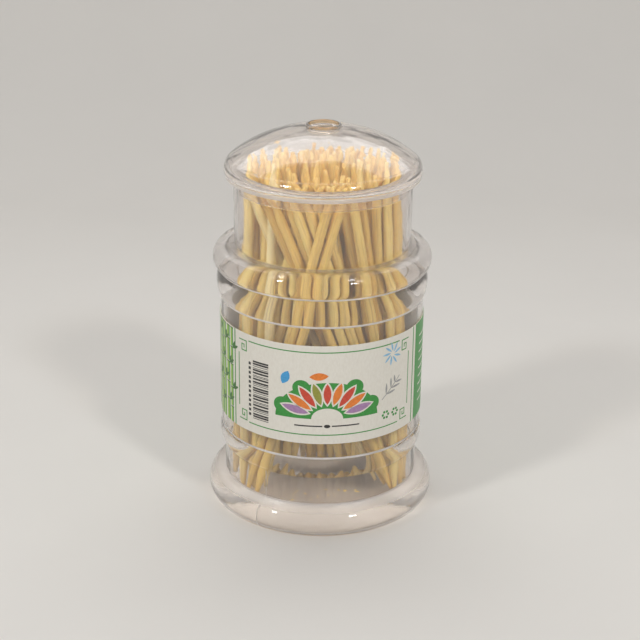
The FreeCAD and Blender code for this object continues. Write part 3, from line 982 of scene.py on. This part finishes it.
def add_lamp(name, bearing, height, distance, width, depth, power):
    """A flat lamp that faces the object."""
    data = bpy.data.lights.new(name, "AREA")
    data.shape = "RECTANGLE"
    data.size = width
    data.size_y = depth
    data.energy = power
    lamp = bpy.data.objects.new(name, data)
    bpy.context.scene.collection.objects.link(lamp)
    around, up = math.radians(bearing), math.radians(height)
    toward = Vector((math.cos(up) * math.sin(around), -math.cos(up) * math.cos(around), math.sin(up)))
    place = Matrix.Translation(AIM + toward * distance)
    lamp.matrix_world = place @ toward.to_track_quat("Z", "Y").to_matrix().to_4x4()


def stage_paper():
    """Plain pale paper with a very faint mottle."""
    made = Material("stage_paper", Roughness=0.75)
    mottle = made.noise(made.position(), 30.0, 4.0)
    low = tuple(level * (1 - STAGE_SPREAD) for level in STAGE_COLOUR[:3]) + (1.0,)
    made.drive("Base Color", made.ramp(mottle, (0.3, low), (0.7, STAGE_COLOUR)))
    return made


def add_stage():
    """A pale floor that turns up into a pale backdrop through a small cove."""
    section = [(-STAGE_HALF_WIDTH, 0.0), (WALL_PLACE - COVE_RADIUS, 0.0)]
    for step in range(1, COVE_STEPS + 1):
        angle = math.pi / 2 * step / COVE_STEPS
        section.append((WALL_PLACE - COVE_RADIUS + COVE_RADIUS * math.sin(angle),
                        COVE_RADIUS - COVE_RADIUS * math.cos(angle)))
    section.append((WALL_PLACE, WALL_HEIGHT))
    mesh = bmesh.new()
    left, right = ([mesh.verts.new((side, y, z)) for y, z in section]
                   for side in (-STAGE_HALF_WIDTH, STAGE_HALF_WIDTH))
    for index in range(len(section) - 1):
        face = mesh.faces.new((left[index], right[index], right[index + 1], left[index + 1]))
        face.smooth = True
    data = to_data(mesh, "floor_and_backdrop")
    data.materials.append(stage_paper().data)
    floor = bpy.data.objects.new("floor_and_backdrop", data)
    bpy.context.scene.collection.objects.link(floor)


def add_world():
    """Soft light from all round; what the camera and clear things see of it is a plain pale grey."""
    world = bpy.data.worlds.new("studio")
    bpy.context.scene.world = world
    world.use_nodes = True
    tree = world.node_tree
    light = tree.nodes["Background"]
    light.inputs["Color"].default_value = WORLD_LIGHT
    light.inputs["Strength"].default_value = WORLD_STRENGTH
    seen = tree.nodes.new("ShaderNodeBackground")
    seen.inputs["Color"].default_value = WORLD_SEEN
    path = tree.nodes.new("ShaderNodeLightPath")
    either = path.outputs["Is Camera Ray"]
    for other in ("Is Glossy Ray", "Is Transmission Ray"):
        more = tree.nodes.new("ShaderNodeMath")
        more.operation = "MAXIMUM"
        tree.links.new(either, more.inputs[0])
        tree.links.new(path.outputs[other], more.inputs[1])
        either = more.outputs[0]
    mixed = tree.nodes.new("ShaderNodeMixShader")
    tree.links.new(either, mixed.inputs["Fac"])
    tree.links.new(light.outputs["Background"], mixed.inputs[1])
    tree.links.new(seen.outputs["Background"], mixed.inputs[2])
    tree.links.new(mixed.outputs["Shader"], tree.nodes["World Output"].inputs["Surface"])


add_camera()
add_world()
for lamp_name, lamp_values in LAMPS.items():
    add_lamp(lamp_name, *lamp_values)
add_stage()

dress("jar_body", clear_plastic("clear_jar_plastic", JAR_SCUFFS))
lid_plastic = clear_plastic("clear_lid_plastic", LID_SCUFFS, LID_WAVE)
paint_hole_reflection(lid_plastic)
dress("lid", lid_plastic)
add_seams()
edge_plastic = highlight_plastic()
add_crease_highlights(edge_plastic)
add_lip_highlight(edge_plastic)
bamboo_wood = bamboo()
dress_toothpicks(bamboo_wood)
add_dust(bamboo_wood)
dress_label()

bpy.context.scene.view_settings.view_transform = "Standard"
